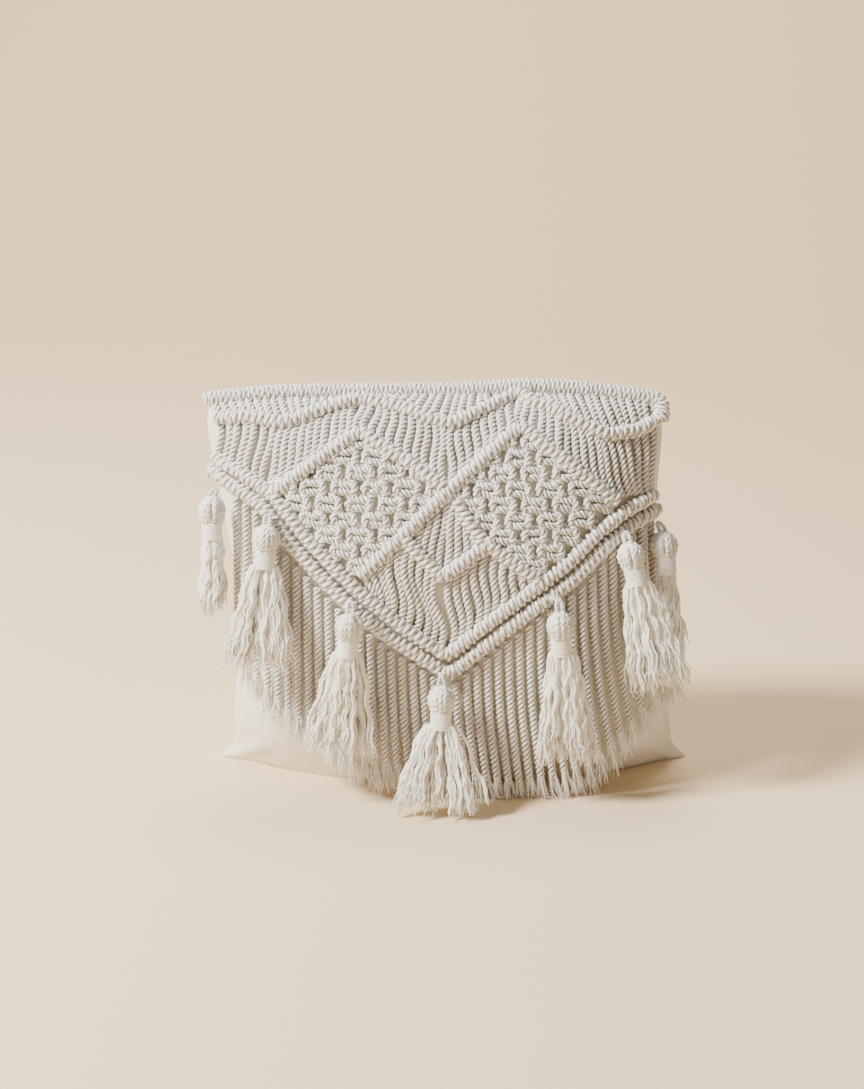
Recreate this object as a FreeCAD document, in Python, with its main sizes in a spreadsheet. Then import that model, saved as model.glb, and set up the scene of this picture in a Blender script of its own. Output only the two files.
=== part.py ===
import FreeCAD, Part
import math
import os

# Square scatter cushion standing on its lower seam, with a macrame front panel and tassels.
# Millimetres. X runs along the cushion's width, -Y is the front, Z is up, floor at Z = 0.

doc = FreeCAD.newDocument("cushion")
V = FreeCAD.Vector

# ---------------------------------------------------------------------------------------------
# Sizes: one table, read by expressions in the features and by size() in the shaped pieces.
sheet = doc.addObject("Spreadsheet::Sheet", "Sizes")
SIZES = [
    ("seam_height", 350.0, "height of the top seam at mid width"),
    ("corner_drop", 6.0, "how much lower the seam is at the top corners"),
    ("half_depth", 95.0, "half thickness at the fullest place"),
    ("half_base", 58.0, "half depth of the flattened base"),
    ("full_height", 130.0, "height of the fullest place"),
    ("waist", 191.0, "half width at the waist"),
    ("base_gain", 16.0, "extra half width at the base ears"),
    ("top_gain", 16.0, "extra half width towards the top"),
    ("top_round", 8.0, "rounding of the top corners"),
    ("lean_low", 10.8, "sideways place of the middle at the base"),
    ("lean_high", -9.5, "sideways place of the middle at the top"),
    ("canvas", 1.2, "cover cloth thickness"),
    ("lining", 0.8, "insert casing thickness"),
    ("play", 0.8, "room between cover and insert"),
    ("rope", 8.0, "three ply cotton rope"),
    ("ridge", 13.0, "half hitch ridge thickness"),
    ("mount_cord", 5.0, "header cord the whole panel hangs from"),
    ("loop_cord", 3.8, "cord pulled tight round the header"),
    ("lay_gap", 1.0, "rope laid on the cloth"),
    ("strand_pitch", 9.2, "spacing of the hanging strands"),
    ("knot_pitch", 27.0, "spacing of square knots along a row"),
    ("knot_length", 13.0, "length of one square knot"),
    ("knot_round", 9.6, "thickness of one square knot"),
    ("link", 5.0, "cord between two knots"),
    ("tie", 5.0, "cord each tassel hangs by"),
    ("tassel_neck", 15.0, "yarn bundle under the binding"),
    ("tassel_head", 21.0, "width of the folded head"),
    ("thread", 2.6, "binding thread"),
    ("zip_length", 260.0, "length of the zip opening"),
    ("zip_back", 28.0, "place of the zip behind the base seam"),
    ("zip_gap", 0.9, "half gap between the two tooth rows"),
    ("tooth_pitch", 3.0, "pitch of the zip teeth"),
    ("valley", 7.0, "half width of the folded zip valley"),
    ("valley_high", 8.6, "height of the folded valley walls"),
    ("slider_length", 11.0, "zip slider"),
    ("slider_wide", 9.0, "zip slider width"),
    ("pull_length", 24.0, "zip pull tab"),
    ("pull_wide", 6.4, "zip pull tab width"),
]
for row, (name, value, note) in enumerate(SIZES, start=1):
    sheet.set("A%d" % row, name)
    sheet.set("B%d" % row, str(value))
    sheet.set("C%d" % row, note)
    sheet.setAlias("B%d" % row, name)
doc.recompute()


def size(name):
    return float(sheet.get(name))


HEIGHT, DROP = size("seam_height"), size("corner_drop")
DEPTH, BASE, FULL = size("half_depth"), size("half_base"), size("full_height")
ROPE, RIDGE, GAP = size("rope"), size("ridge"), size("lay_gap")
finished = {}


# ---------------------------------------------------------------------------------------------
# The plump shape of the cushion. The panel is full low down, where the filling has settled,
# and thins to the seam at the top; the base is pressed flat by standing on it.
def half_width(z):
    t = z / HEIGHT
    low = size("base_gain") * max(0.0, 1.0 - t / 0.35) ** 2
    high = size("top_gain") * min(1.0, max(0.0, (t - 0.45) / 0.45)) ** 1.2
    return size("waist") + low + high - size("top_round") * max(0.0, (t - 0.93) / 0.07) ** 2


def lean(z):
    return size("lean_low") + (size("lean_high") - size("lean_low")) * z / HEIGHT


def half_thickness(z):
    if z > FULL:
        return DEPTH * max(0.0, 1.0 - ((z - FULL) / (HEIGHT - FULL)) ** 2) ** 0.55
    return BASE + (DEPTH - BASE) * (1.0 - ((FULL - z) / FULL) ** 2)


def seam_top(s):
    return HEIGHT - DROP * abs(s) ** 4


def front(x, z):
    s = min(1.0, abs(x - lean(z)) / half_width(z))
    up = min(HEIGHT, z * HEIGHT / seam_top(s))
    return -half_thickness(max(0.0, up)) * max(0.0, 1.0 - s ** 3.6) ** 0.625


def on_panel(x, z, lift):
    """The place in front of the cloth at x, z where a round cord of radius lift just clears it."""
    nearest = front(x, z) - lift
    for ring in (0.35, 0.65, 0.85, 0.97):
        for i in range(12):
            turn = math.pi * i / 6
            away = ring * lift
            cloth = front(x + away * math.cos(turn), z + away * math.sin(turn))
            nearest = min(nearest, cloth - lift * math.sqrt(1 - ring * ring))
    return V(x, nearest, z)


def standing(s, side):
    """Half depth of the base: the two front corners curl up off the floor."""
    if side > 0:
        return BASE
    return BASE * (1.0 - 0.62 * max(0.0, (abs(s) - 0.4) / 0.6) ** 1.6)


def half_lens(inset, side):
    """Half of the pillow shape as a solid, set in from the outside by inset."""
    rows = []
    for i in range(25):
        s = -math.cos(math.pi * i / 24)
        row = []
        for j in range(17):
            k = 0.5 * (1.0 - math.cos(math.pi * j / 16)) if j > 8 else j / 16.0
            z = inset + k * (seam_top(s) - 2 * inset)
            up = k * HEIGHT
            y = half_thickness(up)
            if up < FULL:
                foot, low = standing(s, side), (FULL - up) / FULL
                y = foot + (DEPTH - foot) * (1.0 - low ** (5.0 - 3.0 * foot / BASE))
            y *= max(0.0, 1.0 - abs(s) ** 3.6) ** 0.625
            row.append(V(lean(z) + s * (half_width(z) - inset), side * y * (1 - inset / DEPTH), z))
        rows.append(row)
    cloth = Part.BSplineSurface()
    cloth.interpolate(rows)
    skin = cloth.toShape()
    ends = [rows[0][0], rows[-1][0]]
    base_line = Part.makeLine(ends[0], ends[1])
    low = [e for e in skin.Edges if abs(e.CenterOfMass.z - inset) < 0.01]
    rest = [e for e in skin.Edges if abs(e.CenterOfMass.z - inset) >= 0.01]
    base = Part.Face(Part.Wire(Part.__sortEdges__(low + [base_line])))
    flat = Part.Face(Part.Wire(Part.__sortEdges__(rest + [base_line])))
    shell = Part.makeShell([skin, base, flat])
    shell.sewShape()
    return Part.Solid(shell)


def keep(name, shape):
    """Put one finished shape in the document as a named piece."""
    piece = doc.addObject("Part::Feature", name)
    piece.Shape = shape
    finished[name] = piece
    return piece


def rope_run(points, thick):
    """A round cord through the points: straight runs joined by tangent arcs."""
    edges = []
    last = points[0]
    for i in range(1, len(points) - 1):
        a, b = points[i - 1] - points[i], points[i + 1] - points[i]
        turn = math.pi - a.getAngle(b)
        if turn < 1e-3:
            continue
        cut = 0.45 * min(a.Length, b.Length)
        a.normalize()
        b.normalize()
        radius = cut / math.tan(turn / 2)
        start, end = points[i] + a * cut, points[i] + b * cut
        middle = a + b
        middle.normalize()
        mid = points[i] + middle * (radius / math.cos(turn / 2) - radius)
        edges.append(Part.LineSegment(last, start).toShape())
        edges.append(Part.Arc(start, mid, end).toShape())
        last = end
    edges.append(Part.LineSegment(last, points[-1]).toShape())
    start_way = (points[1] - points[0]).normalize()
    ring = Part.Wire(Part.makeCircle(thick / 2.0, points[0], start_way))
    if len(edges) == 1:
        length = (points[-1] - points[0]).Length
        return Part.makeCylinder(thick / 2.0, length, points[0], start_way)
    return Part.Wire(edges).makePipeShell([ring], True, False)


def along(line, x):
    """Height of a broken line, given as (x, z) places from left to right, at x."""
    for (x0, z0), (x1, z1) in zip(line, line[1:]):
        if x0 <= x <= x1:
            return z0 + (z1 - z0) * (x - x0) / (x1 - x0)
    return line[0][1] if x < line[0][0] else line[-1][1]


def laid(line, lift, most=45.0):
    """Places on the cloth along a line, with extra ones so that the cord follows the swell."""
    places = []
    for (x0, z0), (x1, z1) in zip(line, line[1:]):
        count = max(1, int(math.ceil(math.hypot(x1 - x0, z1 - z0) / most)))
        for i in range(count):
            f = i / float(count)
            places.append(on_panel(x0 + (x1 - x0) * f, z0 + (z1 - z0) * f, lift))
    places.append(on_panel(line[-1][0], line[-1][1], lift))
    return places


# ---------------------------------------------------------------------------------------------
# Cover: a front panel and a back panel that meet at the seam all round. The zip is let into the
# back panel where it lies under the base; the cloth is folded up along both sides of the
# opening, so that the zip stays clear of the floor.
canvas = size("canvas")
valley, wall = size("valley"), size("valley_high")
zip_half = size("zip_length") / 2 + 14.0
middle_x, zip_y = size("lean_low"), size("zip_back")


def long_box(half_long, y_low, y_high, z_low, z_high):
    corner = V(middle_x - half_long, y_low, z_low)
    return Part.makeBox(2 * half_long, y_high - y_low, z_high - z_low, corner)


keep("cover_front", half_lens(0.0, -1).cut(half_lens(canvas, -1)))
outside = valley + canvas
panel = half_lens(0.0, 1).cut(half_lens(canvas, 1))
panel = panel.cut(long_box(zip_half, zip_y - outside, zip_y + outside, -5, 25))
folds = [long_box(zip_half, zip_y - outside, zip_y - valley, 0, wall),
         long_box(zip_half, zip_y + valley, zip_y + outside, 0, wall)]
keep("cover_back", panel.fuse(folds).removeSplitter())

# Insert: two halves of plain casing round one plump filling, with a shallow groove over the zip.
casing = canvas + size("play")
inner = casing + size("lining")
groove = long_box(zip_half + 4, zip_y - 12, zip_y + 12, -14, 16)
deeper = long_box(zip_half + 5, zip_y - 13, zip_y + 13, -14, 16.8)
deepest = long_box(zip_half + 5.5, zip_y - 13.5, zip_y + 13.5, -14, 17.3)
for name, side in (("insert_casing_front", -1), ("insert_casing_back", 1)):
    keep(name, half_lens(casing, side).cut(groove).cut(half_lens(inner, side).cut(deeper)))
halves = [half_lens(inner + 0.4, -1), half_lens(inner + 0.4, 1).cut(deepest)]
keep("insert_filling", Part.makeCompound(halves))


# ---------------------------------------------------------------------------------------------
# Zip in the back panel: two tapes laid over the folded edges, a row of teeth along each tape, a
# stop at each end, and a slider with a pull tab that hangs from a small bridge.
def block(name, place, length, width, height):
    """A plain block: each side, and each place along an axis, is a number or an expression."""
    piece = doc.addObject("Part::Box", name)
    for key, value in (("Length", length), ("Width", width), ("Height", height)):
        piece.setExpression(key, value)
    for key, value in zip("xyz", place):
        piece.setExpression("Placement.Base." + key, value)
    return piece


ZIP_LOW = "(Sizes.lean_low - Sizes.zip_length / 2) * 1mm"
TAPE_HIGH = "(Sizes.valley_high + 0.3) * 1mm"
tape_wide = "(Sizes.valley + Sizes.canvas - Sizes.zip_gap - 1.1) * 1mm"
finished["zip_tape_front"] = block(
    "zip_tape_front", (ZIP_LOW, "(Sizes.zip_back - Sizes.valley - Sizes.canvas) * 1mm", TAPE_HIGH),
    "Sizes.zip_length * 1mm", tape_wide, "0.6 mm")
finished["zip_tape_back"] = block(
    "zip_tape_back", (ZIP_LOW, "(Sizes.zip_back + Sizes.zip_gap + 1.1) * 1mm", TAPE_HIGH),
    "Sizes.zip_length * 1mm", tape_wide, "0.6 mm")

tooth, gap = size("tooth_pitch"), size("zip_gap")
zip_start = middle_x - size("zip_length") / 2
for name, side in (("zip_teeth_front", -1), ("zip_teeth_back", 1)):
    near, tip, far = zip_y + side * (gap + 1.0), zip_y + side * gap, zip_y + side * (gap + 2.0)
    outline = [V(zip_start + 2, far, 7.0)]
    count = int((size("zip_length") - 8) / tooth)
    for i in range(count):
        left = zip_start + 2 + i * tooth
        outline += [V(left, near, 7.0), V(left + 0.6, near, 7.0), V(left + 0.6, tip, 7.0),
                    V(left + 2.1, tip, 7.0), V(left + 2.1, near, 7.0)]
    right = zip_start + 2 + count * tooth
    outline += [V(right, near, 7.0), V(right, far, 7.0), outline[0]]
    keep(name, Part.Face(Part.makePolygon(outline)).extrude(V(0, 0, 1.6)))

for name, place in (("zip_stop_closed", "(Sizes.lean_low + Sizes.zip_length / 2 - 4) * 1mm"),
                    ("zip_stop_open", "(Sizes.lean_low - Sizes.zip_length / 2 - 2) * 1mm")):
    finished[name] = block(name, (place, "(Sizes.zip_back - 2.6) * 1mm", "6.6 mm"), "3 mm", "5.2 mm", "2 mm")

# The slider stands near the closed end; its two plates pass above and below the tooth rows.
SLIDE = "(Sizes.lean_low + Sizes.zip_length / 2 - 19 - Sizes.slider_length / 2) * 1mm"
half_wide = "(Sizes.zip_back - Sizes.slider_wide / 2) * 1mm"
BRIDGE = "(Sizes.zip_back - 1) * 1mm"
slider_parts = [
    block("slider_over", (SLIDE, half_wide, "9.9 mm"),
          "Sizes.slider_length * 1mm", "Sizes.slider_wide * 1mm", "1.1 mm"),
    block("slider_under", (SLIDE, half_wide, "5.2 mm"),
          "Sizes.slider_length * 1mm", "Sizes.slider_wide * 1mm", "1.3 mm"),
    block("slider_neck", (SLIDE, "(Sizes.zip_back - 0.4) * 1mm", "6 mm"), "4 mm", "0.8 mm", "4.5 mm"),
    block("slider_bridge", (SLIDE + " + 0.8 mm", BRIDGE, "1.6 mm"), "9.4 mm", "2 mm", "0.9 mm"),
    block("slider_post_a", (SLIDE + " + 0.8 mm", BRIDGE, "2 mm"), "1 mm", "2 mm", "4 mm"),
    block("slider_post_b", (SLIDE + " + 9.2 mm", BRIDGE, "2 mm"), "1 mm", "2 mm", "4 mm"),
]
slider = doc.addObject("Part::MultiFuse", "zip_slider")
slider.Shapes = slider_parts
finished["zip_slider"] = slider

# The pull tab is one flat plate with a window; its end bar sits under the slider's bridge.
BAR = SLIDE + " + 5.5 mm"
pull_side = "(Sizes.zip_back - Sizes.pull_wide / 2) * 1mm"
plate = block("pull_plate", (BAR + " - Sizes.pull_length * 1mm", pull_side, "3.2 mm"),
              "Sizes.pull_length * 1mm", "Sizes.pull_wide * 1mm", "1.2 mm")
window = block("pull_window", (BAR + " - 7.6 mm", "(Sizes.zip_back - 1.6) * 1mm", "2 mm"),
               "7 mm", "3.2 mm", "4 mm")
frame = doc.addObject("Part::Cut", "pull_frame")
frame.Base, frame.Tool = plate, window
bar = doc.addObject("Part::Cylinder", "pull_bar")
bar.Radius = 0.6
bar.setExpression("Height", "Sizes.pull_wide * 1mm")
bar.setExpression("Placement.Base.x", BAR)
bar.setExpression("Placement.Base.y", "(Sizes.zip_back + Sizes.pull_wide / 2) * 1mm")
bar.Placement.Base.z = 3.8
bar.Placement.Rotation = FreeCAD.Rotation(V(1, 0, 0), 90)
pull = doc.addObject("Part::Fuse", "zip_pull")
pull.Base, pull.Tool = frame, bar
finished["zip_pull"] = pull


# ---------------------------------------------------------------------------------------------
# Macrame panel. Lines are (x, z) places on the front cloth, left to right.
UPPER = [(-204, 334), (-175, 338), (-144, 334), (-109, 343), (-74, 348), (-35, 344), (6, 334),
         (34, 344), (65, 352), (104, 341), (145, 324), (177, 326), (192, 333)]
SHOULDER = [(-204, 290), (-153, 276), (-76, 329), (3, 283), (68, 333), (155, 268), (190, 266)]
CHEVRON = [(-32, 238), (-17, 223), (-2, 207), (20, 223), (30, 230)]
BORDER = [(-205, 299), (-183, 291), (-153, 276), (-128, 246), (-103, 221), (-77, 196), (-39, 165),
          (3, 137), (41, 168), (76, 194), (107, 215), (139, 244), (165, 259), (190, 266)]
ROW_STEP = 14.4


def dropped(line, by):
    """The same line moved outwards by one row, downwards and square to each of its runs."""
    moved = []
    for i, (x, z) in enumerate(line):
        before, after = line[max(0, i - 1)], line[min(len(line) - 1, i + 1)]
        slopes = [math.atan2(z1 - z0, x1 - x0) for (x0, z0), (x1, z1) in
                  ((before, (x, z)), ((x, z), after)) if (x0, z0) != (x1, z1)]
        turn, half = sum(slopes) / len(slopes), (slopes[-1] - slopes[0]) / 2
        away = by / math.cos(half)
        moved.append((x + away * math.sin(turn), z - away * math.cos(turn)))
    return moved


OUTER = dropped(BORDER, ROW_STEP)

# The header cord lies along the top seam, a little raised where the panel is gathered right of
# the middle, and turns down at both corners.
header = []
for i in range(21):
    s = -1.0 + 2.0 * i / 20
    x = lean(HEIGHT) + s * 204
    gathered = 4.5 * math.exp(-((x - 90) / 60) ** 2)
    header.append(V(x, -2.0, seam_top(s) + 9.0 + gathered - 2.0 * abs(s) ** 8))
keep("header_cord", rope_run(header, size("mount_cord")))

# Each hanging cord is looped over the header: a row of tight rings seen along the top.
rings = []
loop_cord = size("loop_cord")
for a, b in zip(header, header[1:]):
    way = (b - a).normalize()
    count = int((b - a).Length // (loop_cord + 1.0))
    for i in range(count):
        place = a + (b - a) * ((i + 0.5) / count)
        middle = (size("mount_cord") + loop_cord) / 2 + 0.5
        rings.append(Part.makeTorus(middle, loop_cord / 2, place, way))
keep("header_loops", Part.makeCompound(rings))

# Half hitch ridges: the upper zigzag, the shoulders of the two diamonds, the long centre ridge,
# the lower left side of the right diamond, the small chevron, and the doubled border.
raised = RIDGE / 2 + GAP
ridges = [
    ("ridge_upper_zigzag", UPPER, raised),
    ("ridge_left_shoulder", [(-141, 285), (-114, 304), (-76, 329), (-36, 307), (-10, 291)], raised),
    ("ridge_centre_long", [(-70, 212), (-35, 245), (5, 282), (36, 308), (68, 333), (110, 303),
                           (146, 275)], raised),
    ("ridge_right_lower", [(17, 263), (32, 241), (60, 221), (78, 209)], raised),
    ("ridge_chevron", CHEVRON, raised),
    ("border_inner_row", BORDER, raised),
    ("border_outer_row", OUTER, raised),
]
for name, line, lift in ridges:
    keep(name, rope_run(laid(line, lift, 22.0), RIDGE))


def clear_of_ridge(line, x):
    """Height that a hanging cord's end keeps from the middle of a ridge that slopes at x."""
    slope = abs(along(line, x + 4) - along(line, x - 4)) / 8.0
    return (RIDGE / 2 + 1.0) * math.sqrt(1 + slope * slope) + (ROPE / 2) * slope


header_line = [(place.x, place.z) for place in header]


def from_ridges(x, z):
    """Distance from a place to the middle line of the nearest ridge."""
    least = 1e9
    for name, line, lift in ridges:
        for (x0, z0), (x1, z1) in zip(line, line[1:]):
            f = ((x - x0) * (x1 - x0) + (z - z0) * (z1 - z0)) / ((x1 - x0) ** 2 + (z1 - z0) ** 2)
            f = min(1.0, max(0.0, f))
            least = min(least, math.hypot(x - x0 - f * (x1 - x0), z - z0 - f * (z1 - z0)))
    return least


def strands(upper, lower, x_from, x_to, shortest=9.0, off=0.0, step=20.0):
    """Strands side by side between two lines of ridges, their ends clear of every ridge."""
    made = []
    pitch = size("strand_pitch")
    for i in range(int((x_to - x_from) / pitch) + 1):
        x = x_from + i * pitch
        run, best, z = [], [], along(upper, x)
        while z > along(lower, x) - 1.0:
            nearest = min(from_ridges(x + side, z) for side in (-4.0, -2.0, 0.0, 2.0, 4.0))
            place, over = on_panel(x, z, ROPE / 2 + GAP + off), along(header_line, x)
            if nearest > RIDGE / 2 + 0.9 and math.hypot(place.y + 2.0, z - over) > 11.4:
                run.append(z)
            else:
                best, run = max(best, run, key=len), []
            z -= 0.5
        best = max(best, run, key=len)
        if best and best[0] - best[-1] > shortest:
            ends = [(x, best[0]), (x, best[-1])]
            made.append(rope_run(laid(ends, ROPE / 2 + GAP + off, step), ROPE))
    return Part.makeCompound(made)


TOP_LINE = [(-207, 350), (-75, 355), (75, 357), (190, 348)]
LONG_AND_LOWER = [(-76, 207), (5, 282), (32, 241), (85, 204)]
BELOW = [(-76, 207), (-36, 245), (-32, 238), (-2, 207), (40, 237), (44, 233), (85, 204)]
keep("strands_upper", strands(TOP_LINE, UPPER, -196, 182, 4.0, 0.9, 5.0))
keep("strands_middle", strands(UPPER, SHOULDER, -198, 184, 8.0))
keep("strands_inside_chevron", strands(LONG_AND_LOWER, CHEVRON, -20, 32))
keep("strands_under_chevron", strands(BELOW, BORDER, -62, 74))


# Each diamond is filled with staggered square knots joined by short slanting cords.
def netting(corners, first_x, first_z):
    step_x, step_z = size("knot_pitch") / 2, 13.0
    long, thick = size("knot_length"), size("knot_round")

    def inside(x, z, half_x, half_z):
        """True where a knot or cord of this half size is clear of the ridges all round."""
        for (x0, z0), (x1, z1) in zip(corners, corners[1:] + corners[:1]):
            side = math.hypot(x1 - x0, z1 - z0)
            away = ((z1 - z0) * (x - x0) - (x1 - x0) * (z - z0)) / side
            if away < RIDGE / 2 + 0.8 + (abs(z1 - z0) * half_x + abs(x1 - x0) * half_z) / side:
                return False
        return True

    made = []
    for i in range(-14, 15):
        for j in range(-9, 10):
            x, z = first_x + i * step_x, first_z + j * step_z
            if (i + j) % 2 or not inside(x, z, long / 2 - 1.5, thick / 2 - 1.5):
                continue
            left, right = on_panel(x - long / 2, z, 5.4), on_panel(x + long / 2, z, 5.4)
            knot = Part.makeCylinder(thick / 2, (right - left).Length, left, right - left)
            rims = [e for e in knot.Edges if e.Curve.TypeId.endswith("Circle")]
            made.append(knot.makeFillet(2.6, rims))
            for side in (-1, 1):
                if inside(x + side * step_x, z - step_z, long / 2 - 1.5, thick / 2 - 1.5):
                    a = on_panel(x + side * 4.6, z - 7.2, 4.0)
                    b = on_panel(x + side * (step_x - 4.6), z - step_z + 7.2, 4.0)
                    if (b - a).Length > 0.8:
                        made.append(Part.makeCylinder(size("link") / 2, (b - a).Length, a, b - a))
    return Part.makeCompound(made)


keep("netting_left_diamond", netting([(-153, 276), (-76, 329), (4, 282), (-76, 202)], -75, 268))
keep("netting_right_diamond", netting([(10, 283), (68, 333), (155, 268), (85, 202), (32, 241)], 78, 268))

# Fringe: plain strands that hang from the outer border row over the lower half of the front.
# They follow the swell of the cloth, then hang straight down from its fullest place, drawn a
# little to the right towards the lower end.
FRINGE_END = [(-206, 150), (-170, 98), (-130, 66), (-85, 42), (-40, 27), (0, 20), (70, 12),
              (125, 24), (165, 52), (205, 92)]
DRAWN = [(-190, -3), (-90, 2), (0, 9), (70, 12), (130, 20), (190, 24)]
fringe_pitch = 9.35


def fringe_route(x):
    top, end = along(OUTER, x) - clear_of_ridge(OUTER, x), along(FRINGE_END, x + along(DRAWN, x))
    count = max(2, int(round((top - end) / 42.0)))
    points, forward = [], 0.0
    for i in range(count + 1):
        f = i / float(count)
        place = on_panel(x + along(DRAWN, x) * f * f, top + (end - top) * f, ROPE / 2 + GAP)
        forward = min(forward, place.y) - (0.25 if i else 0.0)
        points.append(V(place.x, forward, place.z))
    return points


for name, x_from in (("fringe_left", -187), ("fringe_right", 10.5)):
    routes = [fringe_route(x_from + i * fringe_pitch) for i in range(20)]
    keep(name, Part.makeCompound([rope_run(route, ROPE) for route in routes]))


# ---------------------------------------------------------------------------------------------
# Tassels. Each hangs by a short tie from the outer border row: folded yarn head, a tight thread
# binding round the neck, and a loose skirt that is flattened against the fringe.
# The two at the sides swing out sideways, away from the flanks; the others swing to the front.
# name, pivot, head top, skirt end, half width of the skirt, half depth of the skirt
TASSELS = [
    ("1", V(-206, -38, 272), V(-209, -41, 265), V(-209, -62, 160), 11.0, 9.0),
    ("2", V(-156, -77, 258), V(-156, -84, 250), V(-166, -112, 122), 34.0, 10.0),
    ("3", V(-82, -113, 189), V(-82, -119, 179), V(-94, -121, 44), 34.0, 10.0),
    ("4", V(-2, -119, 121), V(-2, -121, 113), V(-5, -147, 8), 48.0, 8.0),
    ("5", V(101, -111, 190), V(102, -117, 180), V(110, -119, 37), 29.0, 10.0),
    ("6", V(162, -74, 241), V(164, -80, 233), V(194, -106, 100), 30.0, 9.0),
    ("7", V(195, -36, 240), V(199, -40, 232), V(209, -64, 118), 11.0, 9.0),
]
NECK, HEAD, THREAD = size("tassel_neck"), size("tassel_head"), size("thread")
for number, pivot, top, end, wide, deep in TASSELS:
    way = (end - top).normalize()
    long = (end - top).Length
    across = V(1, 0, 0) - way * way.x
    across.normalize()
    sections = [(0.0, 0.30 * HEAD, 0.30 * HEAD), (3.5, 0.46 * HEAD, 0.44 * HEAD),
                (11.0, 0.5 * HEAD, 0.46 * HEAD), (18.0, 0.5 * NECK, 0.5 * NECK),
                (32.0, 0.5 * NECK, 0.5 * NECK), (48.0, 0.5 * NECK + 0.22 * (wide - NECK / 2), 9.0),
                (long * 0.72, wide * 0.86, deep), (long, wide, deep)]
    rings = []
    for down, half_w, half_d in sections:
        oval = Part.Ellipse(V(0, 0, 0), max(half_w, half_d + 0.01), half_d)
        ring = oval.toShape()
        turn = FreeCAD.Matrix(across.x, way.cross(across).x, way.x, 0,
                              across.y, way.cross(across).y, way.y, 0,
                              across.z, way.cross(across).z, way.z, 0, 0, 0, 0, 1)
        ring.Placement = FreeCAD.Placement(top + way * down, FreeCAD.Rotation(turn))
        rings.append(Part.Wire(ring))
    keep("tassel_%s_yarn" % number, Part.makeLoft(rings, True, True))
    tie = top - way * 1.5 - pivot
    hinge = {"1": V(0.6, -0.8, 0), "7": V(0.6, 0.8, 0)}.get(number, V(1, 0, 0))
    eye = Part.makeCylinder(size("tie") / 2, 6.0, pivot - hinge * 3, hinge)
    hanger = Part.makeCylinder(size("tie") / 2 - 0.3, tie.Length, pivot, tie)
    keep("tassel_%s_tie" % number, eye.fuse(hanger))
    turns = [Part.makeTorus(NECK / 2 + THREAD / 2 + 0.3, THREAD / 2, top + way * (19.6 + i * 2.9), way)
             for i in range(5)]
    keep("tassel_%s_binding" % number, Part.makeCompound(turns))

# ---------------------------------------------------------------------------------------------
doc.recompute()
os.makedirs("parts", exist_ok=True)
for name, piece in finished.items():
    piece.Label = name
    states = list(piece.State)
    if "Invalid" in states or "Error" in states or piece.Shape.isNull() or not piece.Shape.isValid():
        raise RuntimeError("bad shape: " + name)
    piece.Shape.exportStep("parts/%s.step" % name)
    box = piece.Shape.BoundBox
    print("%-26s solids %3d  vol %10.0f  x %7.1f %7.1f  y %7.1f %7.1f  z %7.1f %7.1f" % (
        name, len(piece.Shape.Solids), piece.Shape.Volume,
        box.XMin, box.XMax, box.YMin, box.YMax, box.ZMin, box.ZMax))
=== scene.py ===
import math
import bmesh
import bpy
import numpy as np
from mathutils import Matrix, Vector


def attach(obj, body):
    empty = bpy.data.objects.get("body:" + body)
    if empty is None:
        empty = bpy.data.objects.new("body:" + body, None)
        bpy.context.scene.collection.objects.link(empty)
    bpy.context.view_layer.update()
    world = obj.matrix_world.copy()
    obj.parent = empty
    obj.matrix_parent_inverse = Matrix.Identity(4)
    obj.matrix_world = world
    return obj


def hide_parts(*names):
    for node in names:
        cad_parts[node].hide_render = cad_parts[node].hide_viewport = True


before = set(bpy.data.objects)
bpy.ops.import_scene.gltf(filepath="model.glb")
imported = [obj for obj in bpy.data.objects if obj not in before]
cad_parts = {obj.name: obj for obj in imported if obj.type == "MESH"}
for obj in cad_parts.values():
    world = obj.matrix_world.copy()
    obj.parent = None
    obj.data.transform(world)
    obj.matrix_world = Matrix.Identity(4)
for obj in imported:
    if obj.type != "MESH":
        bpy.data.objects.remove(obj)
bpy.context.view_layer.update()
MM = 0.001
rng = np.random.default_rng(7)


# ------------------------------------------------------------------------------------------------
# Studio: a seamless pale sweep, a broad soft key light high on the left, a light on the backdrop
# and pale surroundings, with the camera a little above the cushion, looking down at its front.
WALL_BACK, WALL_HIGH, SWEEP_RADIUS = 3.8, 5.0, 1.9
SWEEP_FRONT, SWEEP_HALF, SWEEP_STEPS = -5.0, 6.0, 12
sweep_line = [(SWEEP_FRONT, 0.0), (WALL_BACK - SWEEP_RADIUS, 0.0)]
for i in range(1, SWEEP_STEPS + 1):
    turn = math.pi / 2 * i / SWEEP_STEPS
    sweep_line.append((WALL_BACK - SWEEP_RADIUS + SWEEP_RADIUS * math.sin(turn),
                       SWEEP_RADIUS - SWEEP_RADIUS * math.cos(turn)))
sweep_line.append((WALL_BACK, WALL_HIGH))
sweep_verts = [(side * SWEEP_HALF, y, z) for y, z in sweep_line for side in (-1, 1)]
sweep_faces = [(2 * i, 2 * i + 1, 2 * i + 3, 2 * i + 2) for i in range(len(sweep_line) - 1)]
sweep_mesh = bpy.data.meshes.new("studio_sweep")
sweep_mesh.from_pydata(sweep_verts, [], sweep_faces)
for face in sweep_mesh.polygons:
    face.use_smooth = True
sweep = bpy.data.objects.new("studio_sweep", sweep_mesh)
bpy.context.collection.objects.link(sweep)
paper = bpy.data.materials.new("studio_paper")
paper.use_nodes = True
paper_shader = paper.node_tree.nodes["Principled BSDF"]
paper_shader.inputs["Base Color"].default_value = (0.79, 0.62, 0.405, 1)
paper_shader.inputs["Roughness"].default_value = 0.9
paper_shader.inputs["Specular IOR Level"].default_value = 0.2
sweep_mesh.materials.append(paper)

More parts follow.
